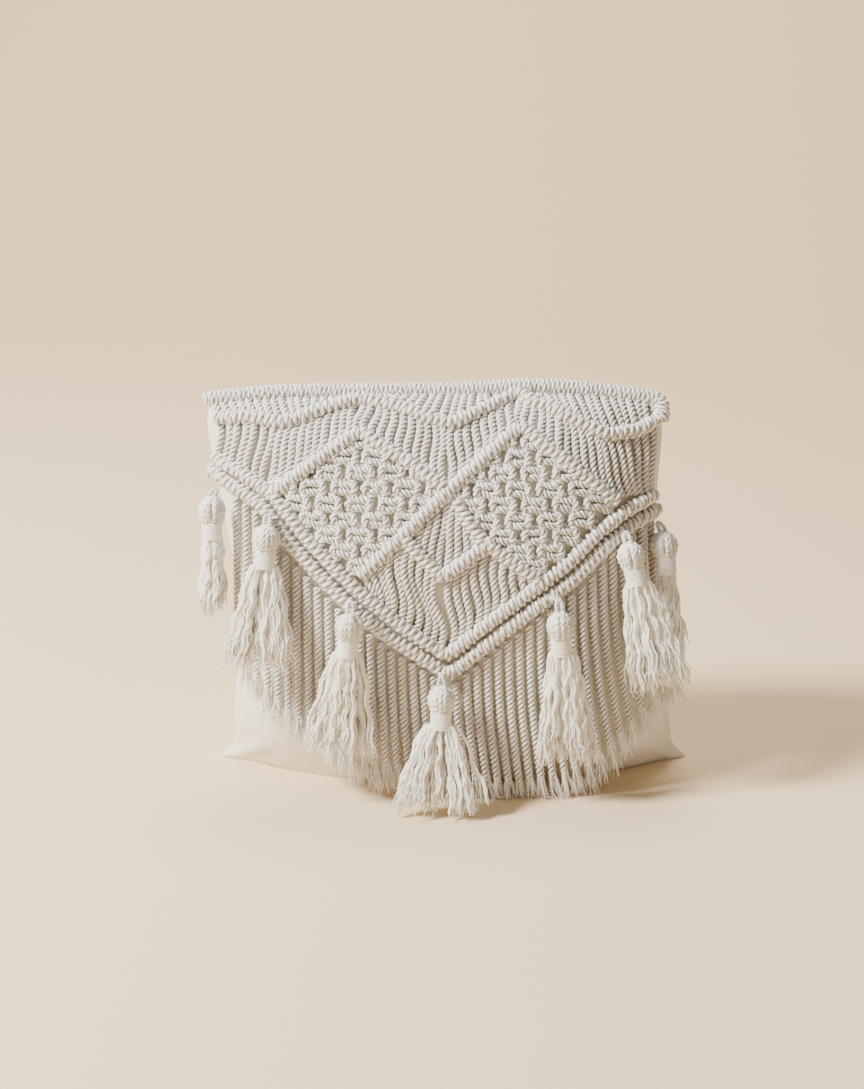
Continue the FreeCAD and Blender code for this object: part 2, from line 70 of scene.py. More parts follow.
AIM = Vector((-0.0105, 0.0, 0.2105))
ELEVATION, DISTANCE, LENS = math.radians(16.0), 1.945, 69.4
camera_data = bpy.data.cameras.new("camera")
camera_data.lens = LENS
camera_data.sensor_width = 36.0
camera = bpy.data.objects.new("camera", camera_data)
camera.location = AIM + DISTANCE * Vector((0, -math.cos(ELEVATION), math.sin(ELEVATION)))
camera.rotation_euler = (math.pi / 2 - ELEVATION, 0, 0)
bpy.context.collection.objects.link(camera)
bpy.context.scene.camera = camera


def soft_light(name, place, aim, size, power, colour):
    data = bpy.data.lights.new(name, "AREA")
    data.shape, data.size, data.energy, data.color = "DISK", size, power, colour
    light = bpy.data.objects.new(name, data)
    light.location = place
    light.rotation_euler = (Vector(aim) - Vector(place)).to_track_quat("-Z", "Y").to_euler()
    bpy.context.collection.objects.link(light)


soft_light("key", (-2.2, -0.95, 2.2), (0, 0, 0.2), 0.8, 288, (1.0, 0.985, 0.96))
soft_light("backdrop", (0.0, 1.6, 3.6), (0, 2.6, 0.4), 2.0, 130, (1.0, 0.94, 0.85))
world = bpy.data.worlds.new("studio")
bpy.context.scene.world = world
world.use_nodes = True
world.node_tree.nodes["Background"].inputs["Color"].default_value = (1.0, 0.91, 0.78, 1)
world.node_tree.nodes["Background"].inputs["Strength"].default_value = 0.35


# ------------------------------------------------------------------------------------------------
# Fringe: forty plain ends of the panel's own rope, cut to a stepped line. Each hangs from the
# outer border row, follows the swell of the cloth, then drops straight, and its end is combed out.

# The plump front that every cord lies on. The filling has settled, so the cloth is fullest a
# third of the way up, thins to the top seam, and is pressed flat where it stands.
SEAM_HEIGHT, CORNER_DROP, FULL_HEIGHT = 350.0, 6.0, 130.0
HALF_DEPTH, HALF_BASE, WAIST = 95.0, 58.0, 191.0
LEAN_LOW, LEAN_HIGH = 10.8, -9.5
TOP_HALF = 204.0
ROUND, PINCH = 3.6, 0.625


def half_width(z):
    t = z / SEAM_HEIGHT
    low = 16.0 * np.maximum(0, 1 - t / 0.35) ** 2
    high = 16.0 * np.clip((t - 0.45) / 0.45, 0, 1) ** 1.2
    return WAIST + low + high - 8.0 * np.clip((t - 0.93) / 0.07, 0, 3) ** 2


def middle(z):
    return LEAN_LOW + (LEAN_HIGH - LEAN_LOW) * z / SEAM_HEIGHT


def half_thickness(z):
    upper = 1 - ((z - FULL_HEIGHT) / (SEAM_HEIGHT - FULL_HEIGHT)) ** 2
    lower = 1 - ((FULL_HEIGHT - z) / FULL_HEIGHT) ** 2
    return np.where(z > FULL_HEIGHT, HALF_DEPTH * np.maximum(upper, 0) ** 0.55,
                    HALF_BASE + (HALF_DEPTH - HALF_BASE) * lower)


def seam_top(s):
    return SEAM_HEIGHT - CORNER_DROP * np.abs(s) ** 4


def gathered(x):
    """How far the top seam rises where the panel is gathered, right of the middle."""
    return 4.5 * math.exp(-((x - 90) / 60) ** 2)


def front(x, z):
    s = np.minimum(1.0, np.abs(x - middle(z)) / half_width(z))
    up = np.clip(z * SEAM_HEIGHT / seam_top(s), 0, SEAM_HEIGHT)
    return -half_thickness(up) * np.maximum(0, 1 - s ** ROUND) ** PINCH


def on_panel(x, z, lift):
    """Where a round cord of radius lift just clears the front cloth at x, z (millimetres)."""
    x, z = np.atleast_1d(np.asarray(x, float)), np.atleast_1d(np.asarray(z, float))
    nearest = front(x, z) - lift
    for ring in (0.35, 0.65, 0.85, 0.97):
        for i in range(12):
            turn, away = math.pi * i / 6, ring * lift
            cloth = front(x + away * math.cos(turn), z + away * math.sin(turn))
            nearest = np.minimum(nearest, cloth - lift * math.sqrt(1 - ring * ring))
    return np.stack([x, nearest, z], axis=1)


def along(line, x):
    xs, zs = zip(*line)
    return np.interp(x, xs, zs)


# Cotton rope, three plies laid up right-handed. Every cord of the panel is this rope: a smooth
# line through its route, with a three-lobed section that turns once in each lay.
ROPE, LAY = 8.0, 13.5
PLIES = 3


def smooth_line(route, step):
    """Even points along a smooth curve through route, both in millimetres."""
    data = bpy.data.curves.new("route", "CURVE")
    data.dimensions, data.resolution_u = "3D", 14
    spline = data.splines.new("NURBS")
    spline.points.add(len(route) - 1)
    spline.points.foreach_set("co", np.c_[np.asarray(route), np.ones(len(route))].ravel())
    spline.order_u = 3
    spline.use_endpoint_u = True
    holder = bpy.data.objects.new("route", data)
    mesh = bpy.data.meshes.new_from_object(holder)
    line = np.empty(len(mesh.vertices) * 3)
    mesh.vertices.foreach_get("co", line)
    line = line.reshape(-1, 3)
    bpy.data.meshes.remove(mesh)
    bpy.data.objects.remove(holder)
    bpy.data.curves.remove(data)
    return even(line, step)


def even(line, step):
    run = np.r_[0, np.cumsum(np.linalg.norm(np.diff(line, axis=0), axis=1))]
    count = max(3, int(math.ceil(run[-1] / step)) + 1)
    at = np.linspace(0, run[-1], count)
    return np.stack([np.interp(at, run, line[:, k]) for k in range(3)], axis=1)


def frames(line):
    """Two directions square to the line at each point, carried along it without spinning."""
    way = np.gradient(line, axis=0)
    way /= np.linalg.norm(way, axis=1)[:, None]
    start = np.cross(way[0], (0, -1, 0) if abs(way[0][1]) < 0.9 else (1, 0, 0))
    side = np.empty_like(line)
    side[0] = start / np.linalg.norm(start)
    for i in range(1, len(line)):
        carried = side[i - 1] - way[i] * side[i - 1].dot(way[i])
        side[i] = carried / np.linalg.norm(carried)
    return side, np.cross(way, side)


def ply_section(sides, depth):
    """Radius round a three ply rope, as a share of its outside radius."""
    ply = 0.464
    turn = (np.arange(sides) / sides * PLIES % 1.0) * 2 * math.pi / PLIES
    turn = np.where(turn > math.pi / PLIES, turn - 2 * math.pi / PLIES, turn)
    inside = np.maximum(ply ** 2 - ((1 - ply) * np.sin(turn)) ** 2, 0)
    return np.maximum((1 - ply) * np.cos(turn) + np.sqrt(inside), depth)


def strand(line, thick, lay=LAY, sides=12, depth=0.66, taper=None):
    """Points, faces and a map for one cord; taper is the share of radius at each point."""
    count = len(line)
    run = np.r_[0, np.cumsum(np.linalg.norm(np.diff(line, axis=0), axis=1))]
    side, up = frames(line)
    phase = rng.uniform(0, 2 * math.pi)
    radius = thick / 2 * (ply_section(sides, depth) if lay else np.ones(sides))
    turn = (2 * math.pi * np.arange(sides) / sides)[None, :] + phase
    if lay:
        turn = turn + (2 * math.pi * run / lay)[:, None]
    grow = np.ones(count) if taper is None else taper
    reach = radius[None, :] * grow[:, None]
    ring = (side[:, None, :] * np.cos(turn)[:, :, None]
            + up[:, None, :] * np.sin(turn)[:, :, None])
    verts = (line[:, None, :] + ring * reach[:, :, None]).reshape(-1, 3)
    i, j = np.meshgrid(np.arange(count - 1), np.arange(sides), indexing="ij")
    k = (j + 1) % sides
    quads = np.stack([i * sides + j, i * sides + k, (i + 1) * sides + k, (i + 1) * sides + j], -1)
    u0, u1, v0, v1 = run[i], run[i + 1], j / sides, (j + 1) / sides
    offset = rng.uniform(0, 1000)
    uv = np.stack([np.stack([u0 + offset, v0], -1), np.stack([u0 + offset, v1], -1),
                   np.stack([u1 + offset, v1], -1), np.stack([u1 + offset, v0], -1)], -2)
    ends = [list(range(sides))[::-1], [(count - 1) * sides + j for j in range(sides)]]
    return verts, quads.reshape(-1, 4), uv.reshape(-1, 2), ends


def piece_of(name, strands, finish, body):
    """One object from many cords, in metres, with its map, finish and body."""
    verts, quads, uvs, caps, start = [], [], [], [], 0
    for v, q, uv, ends in strands:
        verts.append(v)
        quads.append(q + start)
        uvs.append(uv)
        caps += [[c + start for c in end] for end in ends]
        start += len(v)
    verts, quads, uvs = np.concatenate(verts) * MM, np.concatenate(quads), np.concatenate(uvs)
    cap_loops = [c for cap in caps for c in cap]
    sizes = np.r_[np.full(len(quads), 4), [len(cap) for cap in caps]].astype(np.int32)
    mesh = bpy.data.meshes.new(name)
    mesh.vertices.add(len(verts))
    mesh.vertices.foreach_set("co", verts.astype(np.float32).ravel())
    loops = np.r_[quads.ravel(), cap_loops].astype(np.int32)
    mesh.loops.add(len(loops))
    mesh.loops.foreach_set("vertex_index", loops)
    mesh.polygons.add(len(sizes))
    mesh.polygons.foreach_set("loop_start", np.r_[0, np.cumsum(sizes)[:-1]].astype(np.int32))
    mesh.polygons.foreach_set("use_smooth", np.ones(len(sizes), bool))
    mesh.update(calc_edges=True)
    layer = mesh.uv_layers.new(name="strand")
    cap_uv = np.tile([0.5, 0.0], (len(cap_loops), 1))
    layer.data.foreach_set("uv", np.concatenate([uvs, cap_uv]).astype(np.float32).ravel())
    mesh.materials.append(finish)
    piece = bpy.data.objects.new(name, mesh)
    bpy.context.collection.objects.link(piece)
    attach(piece, body)
    return piece


def cotton(name, pale, deep, groove_shade, fibre=1.0):
    """Soft undyed cotton: fibres that run along each ply, with painted shade darkening the grooves
    between the plies.
    """
    finish = bpy.data.materials.new(name)
    finish.use_nodes = True
    nodes, links = finish.node_tree.nodes, finish.node_tree.links
    shader = nodes["Principled BSDF"]
    shader.inputs["Roughness"].default_value = 0.92
    shader.inputs["Specular IOR Level"].default_value = 0.15
    shader.inputs["Sheen Weight"].default_value = 0.06
    shader.inputs["Sheen Roughness"].default_value = 0.6
    uv = nodes.new("ShaderNodeUVMap")
    uv.uv_map = "strand"
    split = nodes.new("ShaderNodeSeparateXYZ")
    links.new(uv.outputs["UV"], split.inputs[0])
    # Each ply's crest is at a whole third of the way round; half way between lies the groove,
    # where painted shade darkens the colour.
    thirds = nodes.new("ShaderNodeMath")
    thirds.operation = "MULTIPLY"
    thirds.inputs[1].default_value = PLIES
    links.new(split.outputs["Y"], thirds.inputs[0])
    wave = nodes.new("ShaderNodeMath")
    wave.operation = "PINGPONG"
    wave.inputs[1].default_value = 0.5
    links.new(thirds.outputs[0], wave.inputs[0])
    # Painted shade mask: zero on the ply crests, rising to full strength in the grooves between
    # them.
    groove_shade_mask = nodes.new("ShaderNodeMapRange")
    groove_shade_mask.inputs["From Min"].default_value, groove_shade_mask.inputs["From Max"].default_value = 0.22, 0.5
    groove_shade_mask.inputs["To Max"].default_value = groove_shade
    links.new(wave.outputs[0], groove_shade_mask.inputs["Value"])
    stretch = nodes.new("ShaderNodeMapping")
    stretch.inputs["Scale"].default_value = (0.22, 22.0, 1.0)
    links.new(uv.outputs["UV"], stretch.inputs["Vector"])
    lines = nodes.new("ShaderNodeTexNoise")
    lines.inputs["Scale"].default_value = 1.0
    lines.inputs["Detail"].default_value = 3.0
    links.new(stretch.outputs[0], lines.inputs["Vector"])
    place = nodes.new("ShaderNodeTexCoord")
    clouds = nodes.new("ShaderNodeTexNoise")
    clouds.inputs["Scale"].default_value = 38.0
    clouds.inputs["Detail"].default_value = 2.0
    links.new(place.outputs["Object"], clouds.inputs["Vector"])
    tone = nodes.new("ShaderNodeMix")
    tone.data_type = "RGBA"
    tone.inputs["A"].default_value, tone.inputs["B"].default_value = (*deep, 1), (*pale, 1)
    blend = nodes.new("ShaderNodeMath")
    blend.operation = "MULTIPLY_ADD"
    links.new(lines.outputs["Fac"], blend.inputs[0])
    blend.inputs[1].default_value = 0.9
    links.new(clouds.outputs["Fac"], blend.inputs[2])
    spread = nodes.new("ShaderNodeMapRange")
    spread.inputs["From Min"].default_value, spread.inputs["From Max"].default_value = 0.7, 1.2
    links.new(blend.outputs[0], spread.inputs["Value"])
    links.new(spread.outputs["Result"], tone.inputs["Factor"])
    # Painted shade: the colour is multiplied towards dark brown in the grooves between the plies,
    # where shade falls.
    shade = nodes.new("ShaderNodeMix")
    shade.data_type = "RGBA"
    shade.blend_type = "MULTIPLY"
    links.new(groove_shade_mask.outputs["Result"], shade.inputs["Factor"])
    links.new(tone.outputs["Result"], shade.inputs["A"])
    shade.inputs["B"].default_value = (0.20, 0.14, 0.09, 1)
    links.new(shade.outputs["Result"], shader.inputs["Base Color"])
    bump = nodes.new("ShaderNodeBump")
    bump.inputs["Strength"].default_value = 0.35 * fibre
    bump.inputs["Distance"].default_value = 0.0006
    links.new(lines.outputs["Fac"], bump.inputs["Height"])
    links.new(bump.outputs["Normal"], shader.inputs["Normal"])
    return finish


# The rope gets full painted groove shade; the yarn gets none.
rope_cotton = cotton("cotton_rope", (0.97, 0.955, 0.925), (0.88, 0.845, 0.79), 1.0)
yarn_cotton = cotton("cotton_yarn", (0.95, 0.92, 0.85), (0.84, 0.79, 0.70), 0.0, 0.6)


# Ridge lines of the panel, as x, z places on the front cloth. Double half hitches tied over a
# leading cord make each ridge; the border is two such rows side by side in a deep V.
RIDGE = 13.0
UPPER = [(-204, 334), (-175, 338), (-144, 334), (-109, 345), (-74, 353), (-35, 346), (6, 334),
         (34, 345), (65, 356), (104, 343), (145, 324), (177, 326), (192, 333)]
LEFT_SHOULDER = [(-150, 278), (-114, 304), (-76, 329), (-36, 307), (-2, 286)]
CENTRE_LONG = [(-72, 210), (-35, 245), (5, 282), (36, 308), (68, 333), (110, 303), (153, 270)]
RIGHT_LOWER = [(12, 271), (19, 259), (32, 241), (60, 221), (82, 206)]
CHEVRON = [(-33, 239), (-17, 223), (-2, 207), (20, 223), (41, 238)]
BORDER = [(-205, 299), (-183, 291), (-153, 276), (-128, 246), (-103, 221), (-77, 196), (-39, 165),
          (3, 137), (41, 168), (76, 194), (107, 215), (139, 244), (165, 259), (190, 266)]
ROW_STEP = 14.4


def dropped(line, by):
    """The same line one row further out, square to each of its runs."""
    moved = []
    for i, (x, z) in enumerate(line):
        before, after = line[max(0, i - 1)], line[min(len(line) - 1, i + 1)]
        slopes = [math.atan2(z1 - z0, x1 - x0) for (x0, z0), (x1, z1) in
                  ((before, (x, z)), ((x, z), after)) if (x0, z0) != (x1, z1)]
        turn, half = sum(slopes) / len(slopes), (slopes[-1] - slopes[0]) / 2
        away = by / math.cos(half)
        moved.append((x + away * math.sin(turn), z - away * math.cos(turn)))
    return moved


OUTER = dropped(BORDER, ROW_STEP)


# Where the fringe is cut, and how far each rope is drawn sideways on its way down.
FRINGE_END = [(-206, 150), (-170, 98), (-130, 66), (-85, 42), (-40, 27), (0, 20), (70, 12),
              (125, 24), (165, 52), (205, 92)]
DRAWN = [(-190, -3), (-90, 2), (0, 9), (70, 12), (130, 20), (190, 24)]
FRINGE_PITCH, FRINGE_COUNT, LAY_GAP = 9.35, 20, 1.0


def clear_of_ridge(line, x):
    slope = abs(along(line, x + 4) - along(line, x - 4)) / 8.0
    return (RIDGE / 2 + 1.0) * math.sqrt(1 + slope * slope) + ROPE / 2 * slope


def fringe_route(x):
    top = along(OUTER, x) - clear_of_ridge(OUTER, x)
    end = along(FRINGE_END, x + along(DRAWN, x))
    count = max(2, int(round((top - end) / 42.0)))
    points, forward = [], 0.0
    for i in range(count + 1):
        f = i / count
        place = on_panel(x + along(DRAWN, x) * f * f, top + (end - top) * f, ROPE / 2 + LAY_GAP)[0]
        forward = min(forward, place[1]) - (0.25 if i else 0.0)
        points.append((place[0], forward, place[2]))
    return points


def frayed(end, way, length, spread, count, thick=1.15):
    """Loose fibres that fan out of a cut rope end."""
    made = []
    for _ in range(count):
        out = rng.normal(size=3)
        out -= way * out.dot(way)
        out /= np.linalg.norm(out)
        reach = spread * rng.uniform(0.15, 1.0)
        long = length * rng.uniform(0.65, 1.1)
        f = np.linspace(0, 1, 8)[:, None]
        wave = rng.normal(size=3) * 0.9
        line = (end + out * rng.uniform(0.5, 3.0) + way * long * f + out * reach * f ** 1.3
                + wave * 1.6 * np.sin(f * 6 + reach) * f)
        line[:, 2] = np.maximum(line[:, 2], 0.6 + rng.uniform(0, 2.5))
        made.append(strand(line, thick * rng.uniform(0.8, 1.25), lay=None, sides=4,
                           taper=np.linspace(1.0, 0.35, 8)))
    return made


fray_left, fray_right = [], []
for node, x_from, frays in (("fringe_left", -187, fray_left), ("fringe_right", 10.5, fray_right)):
    for i in range(FRINGE_COUNT):
        route = fringe_route(x_from + i * FRINGE_PITCH)
        line = smooth_line(route, LAY / 11)
        run = np.linalg.norm(np.diff(line, axis=0), axis=1).sum()
        taper = 1.0 - 0.25 * np.clip((np.linspace(0, run, len(line)) - run + 7) / 7, 0, 1)
        piece = piece_of("%s_%02d" % (node, i + 1), [strand(line, ROPE, taper=taper)],
                         rope_cotton, "cushion")
        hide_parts(node)
        way = line[-1] - line[-4]
        way /= np.linalg.norm(way)
        frays += frayed(line[-1] - 7 * way, way, rng.uniform(25, 36), 7.0, 38)
piece_of("fringe_left_frays", fray_left, yarn_cotton, "cushion")
piece_of("fringe_right_frays", fray_right, yarn_cotton, "cushion")


# ------------------------------------------------------------------------------------------------
# Header: the cord the whole panel is mounted on lies along the top seam. Every hanging cord is
# looped over it and pulled tight, so only a close row of slanting turns is seen.
HEADER_CORD, LOOP_CORD, LOOP_PITCH = 5.0, 5.6, 4.3
header_route = []
for i in range(21):
    s = -1.0 + 2.0 * i / 20
    x = LEAN_HIGH + s * TOP_HALF
    header_route.append((x, -3.0, seam_top(s) + 6.0 + gathered(x) - 2.0 * abs(s) ** 8))
header_route += [(196.5, -5, 346), (198, -10, 340), (196, -16, 333)]


def half_hitches(line, core, cord, pitch, reach, slant, jitter=0.25):
    """Turns of cord round a line: reach is the half angle each turn covers from the front."""
    made = []
    marks = even(line, pitch)
    way = np.gradient(marks, axis=0)
    way /= np.linalg.norm(way, axis=1)[:, None]
    for i, (mark, t) in enumerate(zip(marks, way)):
        below = on_panel(mark[0], mark[2], 0.0)[0]
        step = np.array([mark[0], on_panel(mark[0], mark[2] + 3, 0.0)[0][1], mark[2] + 3])
        side_step = np.array([mark[0] + 3, on_panel(mark[0] + 3, mark[2], 0.0)[0][1], mark[2]])
        out = np.cross(side_step - below, step - below)
        out = out if out[1] < 0 else -out
        out -= t * out.dot(t)
        out /= np.linalg.norm(out)
        across = np.cross(t, out)
        turn = np.linspace(-reach, reach, 15)[:, None]
        grow = core + rng.normal() * jitter
        ring = (mark + grow * (np.cos(turn) * out + np.sin(turn) * across)
                + t * slant * turn / reach)
        made.append(strand(even(ring, 1.5), cord * rng.uniform(0.95, 1.05), lay=16, sides=12,
                           depth=0.80))
    return made


header_line = smooth_line(header_route, 2.0)
header_turns = half_hitches(header_line, (HEADER_CORD + LOOP_CORD) / 2, LOOP_CORD, LOOP_PITCH,
                            math.radians(175), 3.2, 0.15)
header = piece_of("header_cord_and_loops", [strand(header_line, HEADER_CORD)] + header_turns,
                  rope_cotton, "cushion")
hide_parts("header_cord", "header_loops")


# ------------------------------------------------------------------------------------------------
# Ridges: a leading cord with a double half hitch of every hanging cord tied over it. Each hitch
# shows as two turns square to the ridge, and the turns sit shoulder to shoulder.
HITCH_CORD, HITCH_PITCH = 7.6, 6.2


def ridge_line(line):
    places = []
    for (x0, z0), (x1, z1) in zip(line, line[1:]):
        count = max(1, int(math.ceil(math.hypot(x1 - x0, z1 - z0) / 14.0)))
        places += [(x0 + (x1 - x0) * i / count, z0 + (z1 - z0) * i / count) for i in range(count)]
    places.append(line[-1])
    places = np.array(places)
    return smooth_line(on_panel(places[:, 0], places[:, 1], RIDGE / 2 + LAY_GAP), 2.0)


RIDGES = [
    ("ridge_upper_zigzag", UPPER), ("ridge_left_shoulder", LEFT_SHOULDER),
    ("ridge_centre_long", CENTRE_LONG), ("ridge_right_lower", RIGHT_LOWER),
    ("ridge_chevron", CHEVRON), ("border_inner_row", BORDER), ("border_outer_row", OUTER),
]
for name, line in RIDGES:
    places = ridge_line(line)
    turns = half_hitches(places, (RIDGE - HITCH_CORD) / 2 + 0.6, HITCH_CORD, HITCH_PITCH,
                         math.radians(125), 1.6, 0.2)
    ridge = piece_of(name + "_hitches", [strand(places, RIDGE - HITCH_CORD + 1.0)] + turns,
                     rope_cotton, "cushion")
    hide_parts(name)


# ------------------------------------------------------------------------------------------------
# Bare strands: between the ridges the hanging cords run free, side by side, and slant in fans
# towards the points where the ridges meet.
STRAND = 7.8


def fan(upper, x_upper, lower, x_lower, count, bow=0.0, slack=1.2, tuck=3.0):
    """Cords from one line of ridges to the next, spread evenly over the given stretches."""
    made = []
    for i in range(count):
        f = (i + 0.5) / count
        xa, xb = np.interp(f, (0, 1), x_upper), np.interp(f, (0, 1), x_lower)
        xa, xb = xa + rng.normal() * 0.5, xb + rng.normal() * 0.5
        za, zb = along(upper, xa) - tuck, along(lower, xb) + tuck
        g = np.array([0, 0.22, 0.45, 0.7, 0.88, 1.0])
        x = xa + (xb - xa) * g + bow * np.sin(g * 2 * math.pi) + rng.normal() * 0.4 * np.sin(g * 3)
        z = za + (zb - za) * g
        places = on_panel(x, z, STRAND / 2 + 0.4)
        places[:, 1] -= abs(rng.normal()) * slack * np.sin(g * math.pi)
        made.append(strand(smooth_line(places, LAY / 11), STRAND * rng.uniform(0.95, 1.05)))
    return made


def fans(upper, lower, edges, pitch=7.9, bows=None, slack=1.2):
    """Fans side by side: each pair of edges gives the fan's sides, as x above and x below."""
    made = []
    for i, ((xa, xb), (xc, xd)) in enumerate(zip(edges, edges[1:])):
        count = max(1, int(round(max(xc - xa, xd - xb) / pitch)))
        made += fan(upper, (xa, xc), lower, (xb, xd), count, bows[i] if bows else 0.0, slack)
    return made


RIM = [(-213, 348), (-150, 353), (0, 356), (90, 360), (150, 355), (194, 348)]
LONG_AND_LOWER = [(-76, 207), (5, 282), (32, 241), (85, 204)]
BELOW = [(-76, 207), (-36, 245), (-32, 238), (-2, 207), (40, 237), (44, 233), (85, 204)]
SHOULDERS = [(-204, 290), (-183, 288), (-153, 276), (-76, 329), (3, 283), (68, 333), (155, 268),
             (190, 266)]
above = fans(RIM, UPPER,
             [(-211, -206), (-150, -144), (-74, -80), (10, 2), (62, 68), (140, 150), (193, 192)])
between = fans(UPPER, SHOULDERS,
               [(-206, -206), (-148, -160), (-76, -84), (2, 3), (64, 60), (150, 164), (193, 190)],
               bows=[1.5, -1.5, 2.0, -2.0, 1.5, 1.0])
inside = fans(LONG_AND_LOWER, CHEVRON, [(-32, -32), (6, -2), (34, 38)], bows=[1.5, -1.5])
under = (fans(BELOW, BORDER, [(-72, -66), (-36, -36), (-3, 1)], bows=[-3.0, -5.0])
         + fans(BELOW, BORDER, [(1, 2), (42, 38), (84, 78)], bows=[-4.0, -3.0]))
for name, cords in (("strands_upper", above), ("strands_middle", between),
                    ("strands_inside_chevron", inside), ("strands_under_chevron", under)):
    group = piece_of(name + "_cords", cords, rope_cotton, "cushion")
    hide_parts(name)


# ------------------------------------------------------------------------------------------------
# Netting: each diamond is filled with rows of square knots, every row stepped half a knot along.
# A knot is two crossed bars over its core cords, with a cord pair slanting to the next row.
KNOT_CORD, KNOT_ACROSS, KNOT_DOWN = 7.3, 27.8, 13.0
KNOT_TURNS = [
    [(-9.5, 5.5, 1.5), (-6.0, 4.6, 5.5), (0.0, 3.4, 7.4), (6.0, 2.6, 6.4), (10.0, 2.0, 2.5)],
    [(-10.0, -2.0, 2.5), (-6.0, -2.6, 6.4), (0.0, -3.4, 7.4), (6.0, -4.6, 5.5), (9.5, -5.5, 1.5)],
    [(-5.5, -6.0, 2.0), (-8.6, -3.2, 7.0), (-9.4, 0.5, 8.0), (-8.2, 4.0, 6.8), (-4.5, 6.2, 2.5)],
    [(5.5, 6.0, 2.0), (8.6, 3.2, 7.0), (9.4, -0.5, 8.0), (8.2, -4.0, 6.8), (4.5, -6.2, 2.5)],
]
KNOT_LINKS = [
    [(-2.5, -4.0, 3.0), (-5.4, -7.2, 6.0), (-9.5, -8.0, 5.6), (-14.0, -11.0, 2.0)],
    [(2.5, -4.0, 3.0), (5.4, -7.2, 6.0), (9.5, -8.0, 5.6), (14.0, -11.0, 2.0)],
    [(-7.0, -2.0, 2.0), (-9.8, -4.6, 4.4), (-12.6, -6.0, 3.8), (-15.0, -7.0, 1.5)],
    [(7.0, -2.0, 2.0), (9.8, -4.6, 4.4), (12.6, -6.0, 3.8), (15.0, -7.0, 1.5)],
]


def netting(corners, hole_x, hole_z, margin=-1.0):
    made = []
    for i in range(-12, 13):
        for j in range(-12, 13):
            if (i + j) % 2 == 0:
                continue
            x, z = hole_x + i * KNOT_ACROSS / 2, hole_z + j * KNOT_DOWN
            clear = [((z1 - z0) * (x - x0) - (x1 - x0) * (z - z0)) / math.hypot(x1 - x0, z1 - z0)
                     for (x0, z0), (x1, z1) in zip(corners, corners[1:] + corners[:1])]
            if min(clear) < margin:
                continue
            for path in KNOT_TURNS + KNOT_LINKS:
                path = np.array(path) + rng.normal(size=(len(path), 3)) * 0.8
                base = on_panel(x + path[:, 0], z + path[:, 1], 0.4)
                base[:, 1] -= path[:, 2]
                made.append(strand(smooth_line(base, 1.3), KNOT_CORD * rng.uniform(0.94, 1.06),
                                   lay=11.5, sides=12))
    return made


left_net = piece_of("netting_left_diamond_knots",
                    netting([(-153, 276), (-76, 329), (3, 283), (-76, 202)], -74, 282),
                    rope_cotton, "cushion")
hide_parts("netting_left_diamond")
right_net = piece_of("netting_right_diamond_knots",
                     netting([(8, 282), (68, 333), (155, 268), (85, 202), (32, 241)], 80, 281),
                     rope_cotton, "cushion")
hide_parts("netting_right_diamond")


# ------------------------------------------------------------------------------------------------
# Tassels: a bundle of rope yarns is folded over its tie, bound round the neck with thread, and
# combed out below into soft wavy locks that flatten where they lie on the fringe.
# number, where it hangs, top of the head, end of the skirt, half width and half depth at the end
TASSELS = [
    ("1", (-206, -38, 272), (-209, -41, 265), (-209, -62, 160), 11.0, 9.0),
    ("2", (-156, -77, 258), (-156, -84, 250), (-166, -112, 122), 34.0, 10.0),
    ("3", (-82, -113, 189), (-82, -119, 179), (-94, -121, 44), 34.0, 10.0),
    ("4", (-2, -119, 121), (-2, -121, 113), (-5, -147, 8), 48.0, 8.0),
    ("5", (101, -111, 190), (102, -117, 180), (110, -119, 37), 29.0, 10.0),
    ("6", (162, -74, 241), (164, -80, 233), (194, -106, 100), 30.0, 9.0),
    ("7", (195, -36, 240), (199, -40, 232), (209, -64, 118), 11.0, 9.0),
]
NECK, HEAD, THREAD = 15.0, 20.0, 2.3
HEAD_CORDS, HEAD_CORD, HEAD_LAY = 10, 6.4, 14.0
BINDING_DOWN, BINDING_LONG, BINDING_TURNS = 16.5, 20.0, 9.5
LOCKS, YARNS_PER_LOCK = 42, 10
TIE_CORD, EYE = 4.4, 4.9

border_line = ridge_line(OUTER)
hangers = []

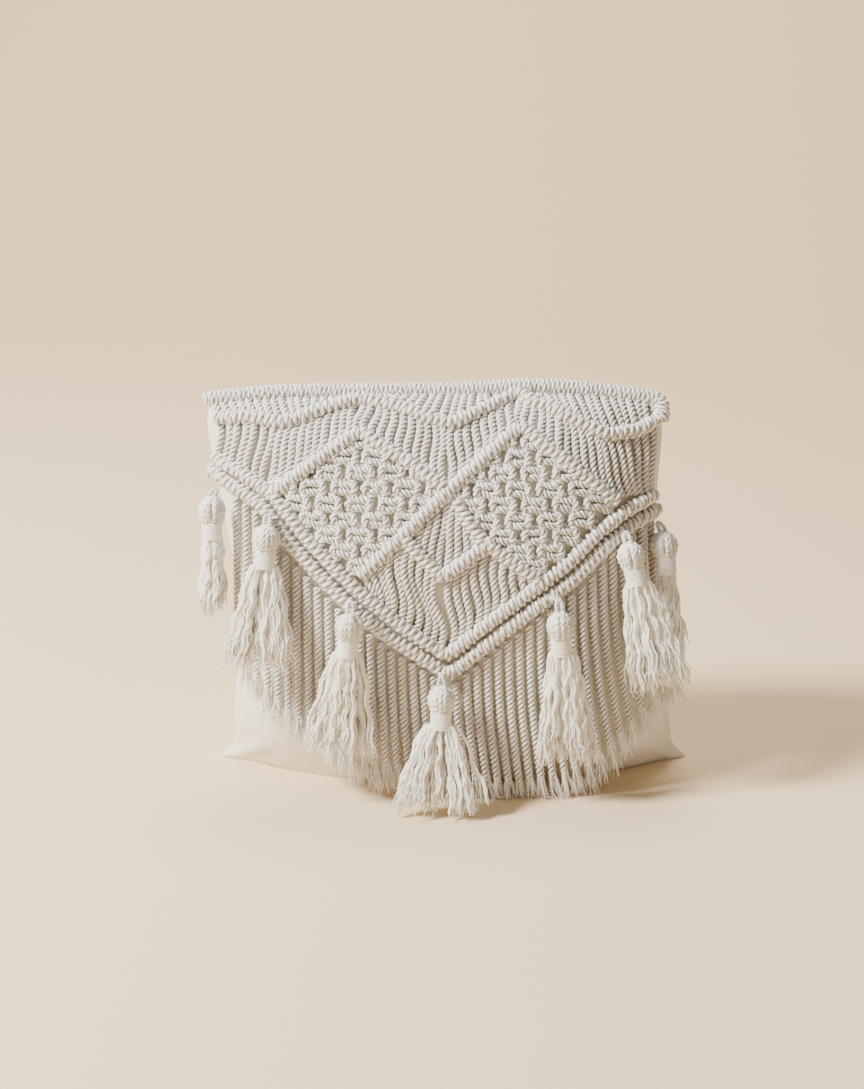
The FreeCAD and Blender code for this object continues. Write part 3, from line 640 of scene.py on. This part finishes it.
for number, pivot, top, end, wide, deep in TASSELS:
    body = "tassel_" + number
    pivot, top, end = np.array(pivot, float), np.array(top, float), np.array(end, float)
    way = (end - top) / np.linalg.norm(end - top)
    long = np.linalg.norm(end - top)
    across = np.array([1.0, 0, 0]) - way * way[0]
    across /= np.linalg.norm(across)
    out = np.cross(way, across)
    head = []
    for i in range(HEAD_CORDS):
        turn = math.pi * i / HEAD_CORDS + rng.normal() * 0.09
        side = across * math.cos(turn) + out * math.sin(turn)
        miss = np.cross(way, side) * rng.uniform(-3.4, 3.4)
        half = [(0.2, 1.0), (0.36, 3.0), (0.49, 8.0), (0.49, 12.5), (0.40, 17.0), (0.34, 21.0)]
        arc = ([top + side * HEAD * r + way * d + miss for r, d in half[::-1]]
               + [top + way * -0.6 + miss]
               + [top - side * HEAD * r + way * d + miss for r, d in half])
        head.append(strand(smooth_line(arc, 2.2), HEAD_CORD, lay=HEAD_LAY, sides=9))
    down = np.linspace(0, 1, 16)[:, None]
    head.append(strand(top + way * (1.5 + 30 * down), 18.4, lay=None, sides=16,
                       taper=np.interp(down[:, 0], [0, 0.08, 0.35, 0.55, 1],
                                       [0.25, 0.8, 1.0, 0.8, 0.75])))
    ring_turn = np.linspace(0, 2 * math.pi * BINDING_TURNS, 230)[:, None]
    coil = (top + way * (BINDING_DOWN + BINDING_LONG * ring_turn / ring_turn[-1])
            + (NECK / 2 + THREAD / 2 - 0.2)
            * (across * np.cos(ring_turn) + out * np.sin(ring_turn)))
    binding = piece_of(body + "_binding_thread", [strand(coil, THREAD, lay=None, sides=7)],
                       yarn_cotton, body)
    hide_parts(body + "_binding")
    loop = [top + way * 4 - across * 2.2, top - way * 3 - across * 2.8, pivot - across * 2.2,
            pivot - way * 2.4, pivot + across * 2.2, top - way * 3 + across * 2.8,
            top + way * 4 + across * 2.2]
    tie = piece_of(body + "_tie_cord",
                   [strand(smooth_line(loop, 1.5), TIE_CORD, lay=9.0, sides=10)],
                   rope_cotton, body)
    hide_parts(body + "_tie")
    row = border_line[np.argmin(np.linalg.norm(border_line - pivot, axis=1))]
    drop = (pivot - row) / np.linalg.norm(pivot - row)
    beside = across * TIE_CORD / 2
    foot = pivot - drop * (EYE + TIE_CORD / 2)
    bend = [row - beside, (row + foot) / 2 - beside, foot - beside * 0.7, foot,
            foot + beside * 0.7, (row + foot) / 2 + beside, row + beside]
    hangers.append(strand(smooth_line(bend, 1.5), TIE_CORD, lay=9.0, sides=10))
    skirt = []
    for lock in range(LOCKS):
        turn = rng.uniform(0, 2 * math.pi)
        share = math.sqrt(rng.uniform(0.02, 1.0))
        foot = across * math.cos(turn) * wide * share + out * math.sin(turn) * deep * share
        neck = (across * math.cos(turn) + out * math.sin(turn)) * NECK * 0.42 * share
        length = long * rng.uniform(0.90, 1.04) * (1.08 if number == "4" else 1.0) - 33.0
        f = np.linspace(0, 1, 24)[:, None]
        ease = 0.62 * f ** 0.33 + 0.38 * f ** 1.3
        phase, beat = rng.uniform(0, 6, 2), rng.uniform(20, 34)
        ripple, swell = f * length / beat * 2 * math.pi, np.minimum(1, f * 4)
        centre = (top + way * (31.0 + length * f) + neck + (foot - neck) * ease
                  + across * 1.3 * np.sin(phase[0] + ripple) * swell
                  + out * 0.8 * np.sin(phase[1] + ripple) * swell)
        for _ in range(YARNS_PER_LOCK):
            start = rng.uniform(0, 2 * math.pi)
            twist = start + f * rng.uniform(2.0, 6.0)
            away = rng.uniform(0.4, 2.6) * (0.5 + 0.8 * f)
            crimp = start * 3 + f * length / rng.uniform(9, 13) * 2 * math.pi
            line = (centre + away * (across * np.cos(twist) + out * np.sin(twist))
                    + 0.45 * (across * np.cos(crimp) + out * np.sin(crimp))
                    + rng.normal(size=3) * 2.6 * f ** 3)
            line[:, 2] = np.maximum(line[:, 2], 1.2 + rng.uniform(0, 5.0))
            line = line[:max(8, int(24 * rng.uniform(0.84, 1.0)))]
            skirt.append(strand(line, rng.uniform(1.4, 2.3), lay=None, sides=5,
                                taper=np.interp(np.linspace(0, 1, len(line)), [0, 0.8, 1],
                                                [1, 0.9, 0.35])))
    yarn = piece_of(body + "_yarns", head + skirt, yarn_cotton, body)
    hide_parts(body + "_yarn")

hanger_loops = piece_of("border_hanger_loops", hangers, rope_cotton, "cushion")
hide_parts("border_outer_row")


# ------------------------------------------------------------------------------------------------
# Cover: off-white cotton canvas, a front and a back panel sewn together all round and turned, so
# that the corners stand out as small pinched ears. The zip is let into the back under the base.
CANVAS, EAR, EAR_HIGH = 1.2, 13.0, 11.0
FULLER, FULLER_HIGH, BASE_FLAT = 9.0, 118.0, 47.0
ZIP_LENGTH, ZIP_BACK, VALLEY, VALLEY_HIGH = 260.0, 28.0, 7.0, 8.6
ZIP_HALF = ZIP_LENGTH / 2 + 14.0
base_half = float(half_width(np.array(0.0)))
zip_s = ZIP_HALF / base_half
columns = np.unique(np.r_[-np.cos(np.linspace(0, math.pi, 111)), -zip_s, zip_s])
base_levels = [0.0, 7.0, 14.0, ZIP_BACK - VALLEY, ZIP_BACK, ZIP_BACK + VALLEY, 40.0, 46.0]
rise = np.r_[np.linspace(0.0, 0.9, 66), 0.9 + 0.1 * np.sin(np.linspace(0, math.pi / 2, 15))[1:]]
cover_verts, cover_faces, index = [], [], {}


def standing(s, side):
    """Half depth of the part that rests on the floor: the front corners curl up off it."""
    if side > 0:
        return HALF_BASE
    return HALF_BASE * (1 - 0.62 * max(0.0, (abs(s) - 0.4) / 0.6) ** 1.6)


def cover_point(side, i, row):
    s = columns[i]
    if row < len(base_levels):
        k, edge = 0.0, standing(s, side) * max(0.0, 1 - abs(s) ** ROUND) ** PINCH
        level = base_levels[row]
        y = level if edge > BASE_FLAT else level * edge / BASE_FLAT
    else:
        k = rise[row - len(base_levels)]
        y = float(half_thickness(np.array(k * SEAM_HEIGHT)))
        if k * SEAM_HEIGHT < FULL_HEIGHT:
            low = (FULL_HEIGHT - k * SEAM_HEIGHT) / FULL_HEIGHT
            foot = standing(s, side)
            y = foot + (HALF_DEPTH - foot) * (1 - low ** (5 - 3 * foot / HALF_BASE))
        y *= max(0.0, 1 - abs(s) ** ROUND) ** PINCH
    z = k * float(seam_top(s)) + gathered(LEAN_HIGH + s * TOP_HALF) * k ** 8
    ear = EAR * math.exp(-(z / EAR_HIGH) ** 2) * max(0.0, (abs(s) - 0.9) / 0.1) ** 2
    fuller = FULLER * math.sin(math.pi * z / FULLER_HIGH) if z < FULLER_HIGH else 0.0
    x = float(middle(z)) + s * (float(half_width(np.array(z))) + fuller) + math.copysign(ear, s)
    turn = math.atan2(z + 2.0, (1.04 - abs(s)) * 200)
    reach = math.hypot(z, (1.04 - abs(s)) * 200)
    fold = math.exp(-((reach - 30) / 24) ** 2) * math.cos(turn * 11 + side)
    y = max(0.0, y + (1.9 * fold + 1.3 * abs(fold)) * min(1.0, y / 14) * min(1.0, z / 8))
    key = (round(x, 4), round(side * y, 4), round(z, 4))
    if key not in index:
        index[key] = len(cover_verts)
        cover_verts.append([c * MM for c in key])
    return index[key]


rows = len(base_levels) + len(rise)
for side in (-1, 1):
    for i in range(len(columns) - 1):
        for row in range(rows - 1):
            over_zip = (side > 0 and row in (3, 4)
                        and abs(columns[i] + columns[i + 1]) / 2 < zip_s)
            if over_zip:
                continue
            ring = [cover_point(side, i, row), cover_point(side, i + 1, row),
                    cover_point(side, i + 1, row + 1), cover_point(side, i, row + 1)]
            ring = list(dict.fromkeys(ring if side < 0 else ring[::-1]))
            if len(ring) > 2:
                cover_faces.append(ring)
cover_mesh = bpy.data.meshes.new("cover_canvas")
cover_mesh.from_pydata(cover_verts, [], cover_faces)
shape = bmesh.new()
shape.from_mesh(cover_mesh)
lips = [e for e in shape.edges if e.is_boundary]
folded = bmesh.ops.extrude_edge_only(shape, edges=lips)["geom"]
bmesh.ops.translate(shape, vec=(0, 0, VALLEY_HIGH * MM),
                    verts=[g for g in folded if isinstance(g, bmesh.types.BMVert)])
bmesh.ops.recalc_face_normals(shape, faces=shape.faces)
shape.to_mesh(cover_mesh)
shape.free()
for face in cover_mesh.polygons:
    face.use_smooth = True
cover = bpy.data.objects.new("cover_canvas", cover_mesh)
bpy.context.collection.objects.link(cover)

canvas = bpy.data.materials.new("cover_canvas")
canvas.use_nodes = True
nodes, links = canvas.node_tree.nodes, canvas.node_tree.links
shader = nodes["Principled BSDF"]
shader.inputs["Roughness"].default_value = 0.85
shader.inputs["Specular IOR Level"].default_value = 0.2
shader.inputs["Sheen Weight"].default_value = 0.12
place = nodes.new("ShaderNodeTexCoord")
weave = []
for axis in ("X", "Z"):
    wave = nodes.new("ShaderNodeTexWave")
    wave.bands_direction = axis
    wave.inputs["Scale"].default_value = 210.0
    wave.inputs["Distortion"].default_value = 0.6
    wave.inputs["Detail"].default_value = 1.0
    links.new(place.outputs["Object"], wave.inputs["Vector"])
    weave.append(wave)
crossed = nodes.new("ShaderNodeMath")
crossed.operation = "MULTIPLY"
links.new(weave[0].outputs["Fac"], crossed.inputs[0])
links.new(weave[1].outputs["Fac"], crossed.inputs[1])
slub = nodes.new("ShaderNodeTexNoise")
slub.inputs["Scale"].default_value = 22.0
slub.inputs["Detail"].default_value = 4.0
links.new(place.outputs["Object"], slub.inputs["Vector"])
tone = nodes.new("ShaderNodeMix")
tone.data_type = "RGBA"
tone.inputs["A"].default_value = (0.79, 0.735, 0.63, 1)
tone.inputs["B"].default_value = (0.86, 0.81, 0.71, 1)
links.new(slub.outputs["Fac"], tone.inputs["Factor"])
links.new(tone.outputs["Result"], shader.inputs["Base Color"])
bump = nodes.new("ShaderNodeBump")
bump.inputs["Strength"].default_value = 0.25
bump.inputs["Distance"].default_value = 0.0004
links.new(crossed.outputs[0], bump.inputs["Height"])
links.new(bump.outputs["Normal"], shader.inputs["Normal"])
cover_mesh.materials.append(canvas)
thick = cover.modifiers.new("cloth", "SOLIDIFY")
thick.thickness, thick.offset = CANVAS * MM, -1
bpy.ops.object.select_all(action="DESELECT")
bpy.context.view_layer.objects.active = cover
cover.select_set(True)
bpy.ops.object.modifier_apply(modifier="cloth")
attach(cover, "cushion")
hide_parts("cover_front", "cover_back")


# ------------------------------------------------------------------------------------------------
# Inside and under: the insert, a woven casing filled with white fibre, lies loose in the cover.
# The zip, cotton tape with moulded teeth and a metal slider, is sewn into the back panel.
def plain(name, colour, rough, metal=0.0, grain=900.0, depth=0.0002):
    finish = bpy.data.materials.new(name)
    finish.use_nodes = True
    nodes, links = finish.node_tree.nodes, finish.node_tree.links
    shader = nodes["Principled BSDF"]
    shader.inputs["Roughness"].default_value = rough
    shader.inputs["Metallic"].default_value = metal
    place = nodes.new("ShaderNodeTexCoord")
    noise = nodes.new("ShaderNodeTexNoise")
    noise.inputs["Scale"].default_value = grain
    links.new(place.outputs["Object"], noise.inputs["Vector"])
    tone = nodes.new("ShaderNodeMix")
    tone.data_type = "RGBA"
    tone.inputs["A"].default_value = (*[c * 0.9 for c in colour], 1)
    tone.inputs["B"].default_value = (*colour, 1)
    links.new(noise.outputs["Fac"], tone.inputs["Factor"])
    links.new(tone.outputs["Result"], shader.inputs["Base Color"])
    bump = nodes.new("ShaderNodeBump")
    bump.inputs["Strength"].default_value = 0.3
    bump.inputs["Distance"].default_value = depth
    links.new(noise.outputs["Fac"], bump.inputs["Height"])
    links.new(bump.outputs["Normal"], shader.inputs["Normal"])
    return finish


casing = plain("insert_casing", (0.86, 0.86, 0.84), 0.9)
fibre = plain("fibre_filling", (0.92, 0.92, 0.91), 0.95, grain=300.0)
tape = plain("zip_tape", (0.84, 0.81, 0.74), 0.85, grain=1500.0)
teeth = plain("zip_teeth", (0.83, 0.81, 0.75), 0.35)
metal = plain("zip_metal", (0.66, 0.65, 0.62), 0.32, 1.0, grain=600.0, depth=0.00005)
FINISHES = {
    "insert_casing_front": casing, "insert_casing_back": casing, "insert_filling": fibre,
    "zip_tape_front": tape, "zip_tape_back": tape, "zip_teeth_front": teeth,
    "zip_teeth_back": teeth, "zip_stop_closed": metal, "zip_stop_open": metal,
    "zip_slider": metal, "zip_pull": metal,
}
for node, finish in FINISHES.items():
    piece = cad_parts[node]
    for holder in piece.material_slots:
        holder.material = finish
